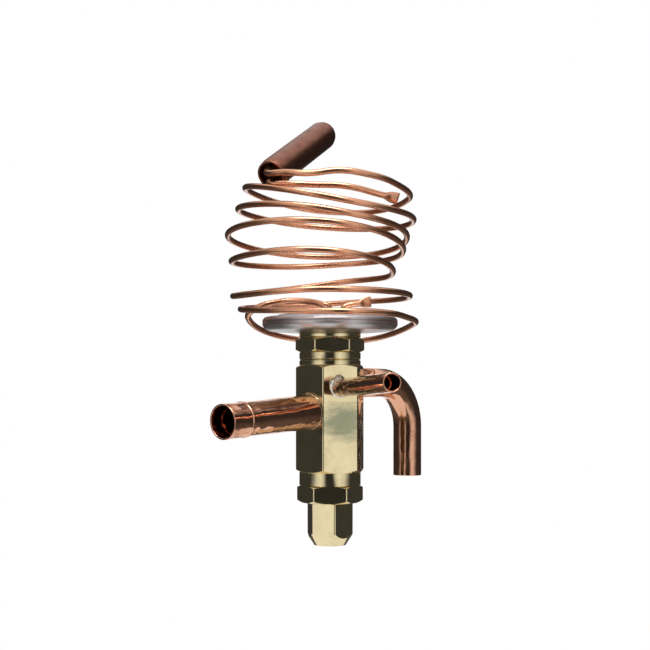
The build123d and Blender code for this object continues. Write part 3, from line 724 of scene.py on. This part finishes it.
bend_rings = 28
rim_length = 4 * tube_rim_round
round_the_bend = [first_run + bend_length * step / bend_rings for step in range(bend_rings + 1)]
stop = inlet_length - inlet_socket_depth
inlet_rim = [
    (inlet_length - rim_length, inlet_radius),
    (inlet_length, inlet_radius),
    (inlet_length, inlet_socket_bore),
    (inlet_length - rim_length, inlet_socket_bore),
]
corner_points = 5
inlet_outline = (
    [(0, inlet_bore), (0, inlet_radius)]
    + [(distance, inlet_radius) for distance in round_the_bend]
    + rounded(inlet_rim, tube_rim_round, corner_points - 1)[corner_points : 3 * corner_points]
    + [(stop, inlet_socket_bore), (stop - 0.5 * MM, inlet_bore)]
    + [(distance, inlet_bore) for distance in reversed(round_the_bend)]
)
stand_for(
    spun("inlet_tube_dressed", inlet_outline, inlet_line, 72, inlet_socket_bore + bore_shade * MM),
    "inlet_tube",
    "copper_tube",
    drawn_copper,
    shaded_bore_copper,
)

# ---------------------------------------------------------------- capillary
# Copper tube of 2.5 mm, wound by hand into a loose hank above the head, where it keeps the shape that
# it is bent to. It runs from the bulb's mouth down through seven turns to the centre of the cover.
capillary_copper = bare_metal(
    "capillary_copper",
    clean=(0.74, 0.37, 0.22),
    dull=(0.42, 0.18, 0.11),
    gloss=0.22,
    dulled=0.38,
    mark_size=0.010,
    lines=(900, 900, 900),
    line_depth=0.000002,
    wave_depth=0.0001,
)
capillary_radius = 1.25 * MM
cover_top = cover_high.z
coil_depth = 35.0


def hank(right, away, up):
    """A point of the hank in millimetres: to the right, away and up from the cover's centre."""
    turned = to_right * right - to_camera * away
    return turned * MM + Vector((0, 0, cover_top + up * MM))


# Height in front, reach and height at the right, height at the back, reach and height at the left.
turns = (
    (None, 31.8, 47.0, 46.6, 34.5, 51.5),
    (42.9, 34.0, 38.3, 39.6, 37.4, 42.8),
    (38.2, 31.3, 31.1, 27.0, 41.6, 32.0),
    (33.6, 29.8, 26.0, 23.4, 40.1, 21.6),
    (22.6, 25.6, 17.2, 15.4, 39.5, 7.7),
    (8.0, 32.5, 7.5, 6.6, 36.4, 2.4),
)
bulb_turn = radians(64.9)
bulb_rise = radians(26.6)
bulb_mouth = hank(-23.4, -20.0, 53.7)
bulb_direction = (
    to_right * cos(bulb_rise) * cos(bulb_turn)
    - to_camera * cos(bulb_rise) * sin(bulb_turn)
    + Vector((0, 0, sin(bulb_rise)))
)
bulb_level = Vector((0, 0, 1)).cross(bulb_direction).normalized()
bulb_up = bulb_direction.cross(bulb_level)
capillary_exit = bulb_mouth + bulb_up * 1.9 * MM
tail_exit = bulb_mouth - bulb_up * 2.5 * MM
head_bend = 3.2
route = [
    capillary_exit + bulb_direction * 7.1 * MM,
    capillary_exit + bulb_direction * 1.0 * MM,
    capillary_exit - bulb_direction * 2.5 * MM,
    hank(-17.0, -29.5, 53.2),
    hank(-8.0, -33.0, 52.3),
    hank(4.0, -34.0, 53.2),
    hank(14.0, -31.0, 52.3),
    hank(24.0, -23.0, 50.6),
]
for front, right_reach, right, back, left_reach, left in turns:
    if front is not None:
        route.append(hank(0, -coil_depth, front))
    route.append(hank(right_reach, 0, right))
    route.append(hank(0, coil_depth, back))
    route.append(hank(-left_reach, 0, left))
# The lowest turn dips at the right, passes under the head's rim at the back and bends into the cover.
route += [
    hank(0, -coil_depth, -0.4),
    hank(20.0, -28.5, -0.6),
    hank(29.5, -16.0, -1.6),
    hank(34.3, 0, -3.6),
    hank(0, coil_depth, -9.8),
    hank(-33.4, 0, -1.2),
    hank(-30.0, -5.5, 2.2),
    hank(-22.0, -6.5, 4.6),
    hank(-12.0, -4.0, 5.4),
    hank(-head_bend, 0, 1.1 + head_bend),
    hank(-head_bend * 0.29, 0, 1.1 + head_bend * 0.71),
    hank(0, 0, 1.1),
    hank(0, 0, -1.7),
]


def drawn_tube(name, points, radius):
    """A length of fine tube bent smoothly through its points."""
    curve = bpy.data.curves.new(name, "CURVE")
    curve.dimensions = "3D"
    curve.resolution_u = 14
    curve.bevel_depth = radius
    curve.bevel_resolution = 5
    curve.use_fill_caps = True
    line = curve.splines.new("BEZIER")
    line.bezier_points.add(len(points) - 1)
    for knot, point in zip(line.bezier_points, points):
        knot.co = point
        knot.handle_left_type = knot.handle_right_type = "AUTO"
    return put_in_scene(name, curve)


stand_for(
    drawn_tube("capillary_tube_dressed", route, capillary_radius),
    "capillary_tube",
    "satin_copper",
    capillary_copper,
)


# ---------------------------------------------------------------- pinched tails
# The tubes that the bulb and the head were charged through: each is pinched off flat, so that its end
# spreads to a bright fishtail where the jaws cut through the oxide.
def pinched_tube(name, points, radius, flat_side, length, width, thickness):
    """A bent tube whose section flattens and widens over its last stretch."""
    guide = drawn_tube(name + "_line", points, 0)
    line = bpy.data.meshes.new_from_object(guide)
    centres = [Vector(v.co) for v in line.vertices]
    bpy.data.objects.remove(guide)
    onward = (centres[-1] - centres[-2]).normalized()
    flat_steps = 9
    centres += [centres[-1] + onward * length * step / flat_steps for step in range(1, flat_steps + 1)]
    round_count = len(centres) - flat_steps
    sides = 20
    vertices, faces = [], []
    for index, centre in enumerate(centres):
        ahead = centres[min(index + 1, len(centres) - 1)] - centres[max(index - 1, 0)]
        ahead.normalize()
        across = flat_side.cross(ahead).normalized()
        up = ahead.cross(across)
        squeeze = max(0, index - round_count + 1) / flat_steps
        ease = min(1, squeeze * 1.9)
        ease = ease * ease * (3 - 2 * ease)
        half_width = radius + (width / 2 - radius) * (0.55 * ease + 0.45 * squeeze)
        half_thickness = radius + (thickness / 2 - radius) * ease
        for side in range(sides):
            turn = tau * side / sides
            vertices.append(centre + across * cos(turn) * half_width + up * sin(turn) * half_thickness)
    for index in range(len(centres) - 1):
        for side in range(sides):
            here, there = index * sides, (index + 1) * sides
            turn = (side + 1) % sides
            faces.append((here + side, here + turn, there + turn, there + side))
    pinched_from = (round_count + 2) * sides
    faces.append(tuple(range(sides)))
    faces.append(tuple(len(vertices) - 1 - side for side in range(sides)))
    mesh = smooth_mesh(name, vertices, faces)
    for polygon in mesh.polygons:
        polygon.material_index = int(max(polygon.vertices) >= pinched_from)
    return put_in_scene(name, mesh)


pinched_copper = bare_metal(
    "pinched_copper",
    clean=(0.90, 0.70, 0.54),
    dull=(0.72, 0.46, 0.33),
    gloss=0.3,
    dulled=0.45,
    mark_size=0.002,
    lines=(900, 900, 900),
    line_depth=0.000008,
    wave_depth=0.0002,
)
tail_points = [
    tail_exit + bulb_direction * 7.1 * MM,
    tail_exit + bulb_direction * 1.0 * MM,
    tail_exit - bulb_direction * 2.5 * MM,
    hank(-17.5, -24.6, 49.6),
    hank(-8.0, -26.2, 49.0),
    hank(6.0, -26.0, 48.4),
    hank(20.9, -20.9, 45.6),
]
tail_flat = to_right * -0.2 - to_camera + Vector((0, 0, 0.5))
pinched_thickness = 1.0 * MM
stand_for(
    pinched_tube(
        "bulb_charge_tail_dressed",
        tail_points,
        capillary_radius,
        tail_flat,
        length=6.2 * MM,
        width=5.0 * MM,
        thickness=pinched_thickness,
    ),
    "bulb_charge_tail",
    "satin_copper",
    capillary_copper,
    pinched_copper,
)
stub_bend = 3.0
stub_side = (to_right - to_camera * 0.35).normalized()
stub_foot = hank(5.0, 1.5, 0)
stub_upright = 1.1


def stub_point(out, up):
    """A point of the stub in millimetres, out and up from its foot."""
    return stub_foot + (stub_side * out + Vector((0, 0, up))) * MM


stub_points = [
    stub_point(0, -1.7),
    stub_point(0, stub_upright),
    stub_point(stub_bend * (1 - cos(radians(45))), stub_upright + stub_bend * sin(radians(45))),
    stub_point(stub_bend, stub_upright + stub_bend),
    stub_point(stub_bend + 4.0, stub_upright + stub_bend + 0.7),
]
stub_flat = -to_camera + Vector((0, 0, 0.2))
stand_for(
    pinched_tube(
        "head_charge_stub_dressed",
        stub_points,
        capillary_radius,
        stub_flat,
        length=5.6 * MM,
        width=4.7 * MM,
        thickness=pinched_thickness,
    ),
    "head_charge_stub",
    "satin_copper",
    capillary_copper,
    pinched_copper,
)

# ---------------------------------------------------------------- sensing bulb
# A copper tube closed to a dome at its far end and swaged in at its mouth around the brazed plug. The
# heat of the brazing has left it dark with oxide. It is clamped to the suction line in use.
oxidised_copper = bare_metal(
    "oxidised_copper",
    clean=(0.27, 0.105, 0.065),
    dull=(0.09, 0.042, 0.032),
    gloss=0.32,
    dulled=0.6,
    mark_size=0.0035,
    lines=(900, 900, 900),
    line_depth=0.000004,
    wave_depth=0.00015,
)
bulb_length = 56.0
bulb_radius = 6.0
bulb_bore = 5.1
bulb_mouth_depth = 3.6
bulb_floor = bulb_length - 1.1
bulb_outline = (
    (bulb_length, 0.0),
    (bulb_length, 4.2),
    (55.1, 5.4),
    (52.7, bulb_radius),
    (bulb_mouth_depth, bulb_radius),
    (0.0, 5.6),
    (0.0, 4.8),
    (bulb_mouth_depth, bulb_bore),
    (52.0, bulb_bore),
    (bulb_floor, 2.0),
    (bulb_floor, 0.0),
)
bulb_shape = rounded([(along * MM, radius * MM) for along, radius in bulb_outline], 0.5 * MM)
stand_for(
    spun(
        "sensing_bulb_dressed",
        bulb_shape,
        straight(bulb_mouth, bulb_direction),
        bore=(bulb_bore + bore_shade) * MM,
    ),
    "sensing_bulb",
    "oxidised_copper",
    oxidised_copper,
    shaded_bore_copper,
)

# ---------------------------------------------------------------- brazed joints
# Silver brazing alloy drawn into the corner between each tube and the part that it enters. It freezes
# as an uneven fillet, heaped where the rod was fed.
silver_braze = bare_metal(
    "silver_braze",
    clean=(0.80, 0.76, 0.64),
    dull=(0.55, 0.47, 0.33),
    gloss=0.10,
    dulled=0.35,
    mark_size=0.003,
    lines=(600, 600, 600),
    line_depth=0.00001,
    wave_depth=0.0004,
)
brown_braze = bare_metal(
    "brown_braze",
    clean=(0.50, 0.36, 0.20),
    dull=(0.20, 0.12, 0.07),
    gloss=0.16,
    dulled=0.45,
    mark_size=0.003,
    lines=(600, 600, 600),
    line_depth=0.00001,
    wave_depth=0.0004,
)


def frozen_fillet(node, material, origin, direction, radius, leg, heap, heap_side, seed):
    """A hollow-faced ring of alloy round a tube's root, heaped by so many millimetres on one side."""
    place = straight(origin, direction)
    centre, onward, across = place(0)
    up = onward.cross(across)
    sunk, overlap = 0.4 * MM, 0.1 * MM
    sides, steps = 72, 6
    vertices, faces = [], []
    for side in range(sides):
        turn = tau * side / sides
        spoke = across * cos(turn) + up * sin(turn)
        fed = max(0, spoke.dot(heap_side)) ** 2
        uneven = noise.noise(spoke * 2.2 + Vector((seed, 0, 0)))
        here = (leg * (1 + 0.45 * uneven) + heap * fed * (1 + 0.5 * uneven)) * MM
        section = [(-sunk, radius * MM - overlap), (-sunk, radius * MM + here)]
        for step in range(steps + 1):
            t = pi / 2 * step / steps
            hollow = 1 - (0.75 - 0.4 * fed) * sin(2 * t) * 0.42
            section.append((here * sin(t) * hollow, radius * MM + here * cos(t) * hollow))
        section.append((here, radius * MM - overlap))
        for along, out in section:
            vertices.append(centre + onward * along + spoke * out)
    count = len(section)
    for side in range(sides):
        there = (side + 1) % sides
        for step in range(count):
            turn = (step + 1) % count
            faces.append(
                (side * count + step, side * count + turn, there * count + turn, there * count + step)
            )
    mesh = smooth_mesh(node + "_dressed", vertices, faces)
    face_outward(mesh)
    return stand_for(put_in_scene(node + "_dressed", mesh), node, "silver_braze", material)


upward = Vector((0, 0, 1))
frozen_fillet(
    "outlet_braze",
    brown_braze,
    outlet_root,
    outlet_direction,
    radius=outlet_body,
    leg=0.55,
    heap=0.3,
    heap_side=upward,
    seed=3.1,
)
frozen_fillet(
    "equalizer_braze",
    silver_braze,
    equalizer_root,
    equalizer_direction,
    radius=equalizer_radius,
    leg=0.55,
    heap=1.3,
    heap_side=(upward * 1.5 - to_right).normalized(),
    seed=8.6,
)
frozen_fillet(
    "inlet_braze",
    brown_braze,
    Vector((half_flats, 0, inlet_height)),
    (1, 0, 0),
    radius=6.1,
    leg=0.6,
    heap=0.3,
    heap_side=upward,
    seed=5.3,
)
nodes["capillary_braze"].data.materials.clear()
nodes["capillary_braze"].data.materials.append(brown_braze)
# The plug deep in the bulb's mouth takes the same painted shade.
nodes["bulb_plug"].data.materials.clear()
nodes["bulb_plug"].data.materials.append(shaded_bore_copper)

# ---------------------------------------------------------------- parts inside
# What the body and the head hold: turned steel and brass, the wound spring, and seals of rubber and
# fluoropolymer. Nothing of them shows until the valve is taken apart, so they keep their plain form.
turned_steel = bare_metal(
    "turned_steel",
    clean=(0.60, 0.60, 0.61),
    dull=(0.42, 0.42, 0.43),
    gloss=0.2,
    dulled=0.4,
    mark_size=0.006,
    lines=(400, 400, 5000),
    line_depth=0.000005,
    wave_depth=0.00005,
)
turned_brass = bare_metal(
    "turned_brass",
    clean=(0.74, 0.60, 0.33),
    dull=(0.52, 0.41, 0.21),
    gloss=0.2,
    dulled=0.4,
    mark_size=0.006,
    lines=(400, 400, 5000),
    line_depth=0.000005,
    wave_depth=0.00005,
)


def seal_material(name, colour, specks, roughness):
    """Moulded rubber or fluoropolymer, with a faint mottle and a fine grain."""
    material = bpy.data.materials.new(name)
    material.use_nodes = True
    tree = material.node_tree
    shader = tree.nodes["Principled BSDF"]
    marks = place_group(tree, handling_marks, Size=0.002)
    link(tree, two_colours(tree, marks.outputs["Mask"], colour, specks), shader.inputs["Base Color"])
    shader.inputs["Roughness"].default_value = roughness
    grain = tree.nodes.new("ShaderNodeBump")
    grain.inputs["Distance"].default_value = 0.00002
    link(tree, marks.outputs["Height"], grain.inputs["Height"])
    link(tree, grain.outputs["Normal"], shader.inputs["Normal"])
    return material


black_rubber = seal_material("black_rubber", (0.03, 0.03, 0.03), (0.06, 0.06, 0.06), 0.55)
fluoropolymer = seal_material("fluoropolymer", (0.82, 0.81, 0.77), (0.70, 0.69, 0.64), 0.35)
inside = {
    turned_steel: (
        "adjusting_spindle",
        "superheat_spring",
        "valve_stem",
        "orifice_seat",
        "diaphragm_pad",
        "inlet_strainer",
    ),
    turned_brass: ("spring_seat", "pin_carrier"),
    stainless: ("diaphragm",),
    black_rubber: ("spindle_o_rings",),
    fluoropolymer: ("bottom_gasket", "cap_gasket", "stem_seal"),
}
for material, names in inside.items():
    for name in names:
        nodes[name].data.materials.clear()
        nodes[name].data.materials.append(material)

# ---------------------------------------------------------------- studio
# A pale floor below the valve, a white surround as the eye sees it, white and dark cards for the metal
# to reflect, and one soft lamp above.
floor_drop = 0.10
floor_half = 0.14
floor_mesh = bpy.data.meshes.new("floor")
floor_mesh.from_pydata(
    [
        (-floor_half, -floor_half, -floor_drop),
        (floor_half, -floor_half, -floor_drop),
        (floor_half, floor_half, -floor_drop),
        (-floor_half, floor_half, -floor_drop),
    ],
    [],
    [(0, 1, 2, 3)],
)
floor = put_in_scene("floor", floor_mesh)


def seen_directly(tree):
    """1 for the rays that should see the white surround as it is: camera, glossy and transmission."""
    path = tree.nodes.new("ShaderNodeLightPath")
    seen = reckon(tree, "ADD", path.outputs["Is Camera Ray"], path.outputs["Is Glossy Ray"])
    seen = reckon(tree, "ADD", seen, path.outputs["Is Transmission Ray"])
    seen.node.use_clamp = True
    return seen


floor_paint = bpy.data.materials.new("floor_paint")
floor_paint.use_nodes = True
paint = floor_paint.node_tree
matt_white = paint.nodes["Principled BSDF"]
matt_white.inputs["Base Color"].default_value = (0.92, 0.92, 0.92, 1)
matt_white.inputs["Roughness"].default_value = 0.9
glow = paint.nodes.new("ShaderNodeEmission")
glow.inputs["Strength"].default_value = 1.0
outward = paint.nodes.new("ShaderNodeVectorMath")
outward.operation = "LENGTH"
link(paint, paint.nodes.new("ShaderNodeTexCoord").outputs["Object"], outward.inputs[0])
faded = spread(paint, outward.outputs["Value"], 0.05, floor_half - 0.02)
whiteness = reckon(paint, "MULTIPLY_ADD", faded, 0.2, 0.8)
blend = paint.nodes.new("ShaderNodeMixShader")
link(paint, reckon(paint, "MULTIPLY", seen_directly(paint), whiteness), blend.inputs[0])
link(paint, matt_white.outputs[0], blend.inputs[1])
link(paint, glow.outputs[0], blend.inputs[2])
link(paint, blend.outputs[0], paint.nodes["Material Output"].inputs["Surface"])
floor_mesh.materials.append(floor_paint)

world = bpy.data.worlds.new("studio")
bpy.context.scene.world = world
world.use_nodes = True
room = world.node_tree
background = room.nodes["Background"]
direction = room.nodes.new("ShaderNodeTexCoord").outputs["Generated"]


def along_direction(vector):
    """How far the world's direction points along a vector."""
    node = room.nodes.new("ShaderNodeVectorMath")
    node.operation = "DOT_PRODUCT"
    node.inputs[1].default_value = vector
    link(room, direction, node.inputs[0])
    return node.outputs["Value"]


def over(share, below, above):
    """One colour laid over another by a share from 0 to 1."""
    node = room.nodes.new("ShaderNodeMix")
    node.data_type = "RGBA"
    link(room, share, node.inputs[0])
    link(room, below, node.inputs[6])
    node.inputs[7].default_value = (*above, 1)
    return node.outputs[2]


# How far round a direction lies: 0 towards the front, 1 straight behind the valve.
swing = reckon(room, "ARCTAN2", along_direction(to_right), along_direction(to_camera))
around = reckon(room, "DIVIDE", reckon(room, "ABSOLUTE", swing), pi)
height = along_direction((0, 0, 1))
# The brightness of the walls at so much of the way round: dark in front, a white sheet at each side,
# dark beyond it, and the white backdrop behind.
walls = (
    (0.0, 0.03),
    (0.07, 0.04),
    (0.14, 0.8),
    (0.20, 1.0),
    (0.30, 0.8),
    (0.38, 0.3),
    (0.44, 0.05),
    (0.940, 0.04),
    (0.970, 1.0),
    (1.0, 1.0),
)
cards = room.nodes.new("ShaderNodeValToRGB")
link(room, around, cards.inputs["Fac"])
stops = cards.color_ramp.elements
stops[0].position, stops[1].position = walls[0][0], walls[-1][0]
for place, level in walls[1:-1]:
    stops.new(place)
for stop_point, (place, level) in zip(stops, walls):
    stop_point.color = (level, level, level, 1)
# Below the walls a dark table, which is lit at both sides and runs up to the backdrop.
dark_table = (0.13, 0.12, 0.11)
off_the_backdrop = spread(room, around, 0.965, 0.94)
table_share = reckon(room, "MULTIPLY", spread(room, height, -0.12, -0.45), off_the_backdrop)
lit_side = reckon(room, "MULTIPLY", spread(room, around, 0.12, 0.18), spread(room, around, 0.36, 0.28))
table_share = reckon(room, "MULTIPLY", table_share, reckon(room, "MULTIPLY_ADD", lit_side, -0.8, 1.0))
white = (1, 1, 1)
seen = over(table_share, cards.outputs["Color"], dark_table)
seen = over(spread(room, height, 0.5, 0.75), seen, white)
seen = over(room.nodes.new("ShaderNodeLightPath").outputs["Is Camera Ray"], seen, white)
link(room, seen, background.inputs["Color"])
background.inputs["Strength"].default_value = 1.0

lamp_height = 0.75
lamp_forward = 0.25
lamp_aim = Vector((0, 0, 0.09))
lamp_data = bpy.data.lights.new("overhead_lamp", "AREA")
lamp_data.shape = "RECTANGLE"
lamp_data.size = 0.5
lamp_data.size_y = 0.35
lamp_data.energy = 4.0
lamp = put_in_scene("overhead_lamp", lamp_data)
lamp.location = to_camera * lamp_forward + Vector((0, 0, lamp_height))
lamp.rotation_euler = (lamp_aim - lamp.location).to_track_quat("-Z", "Y").to_euler()
bpy.context.scene.view_settings.view_transform = "Standard"
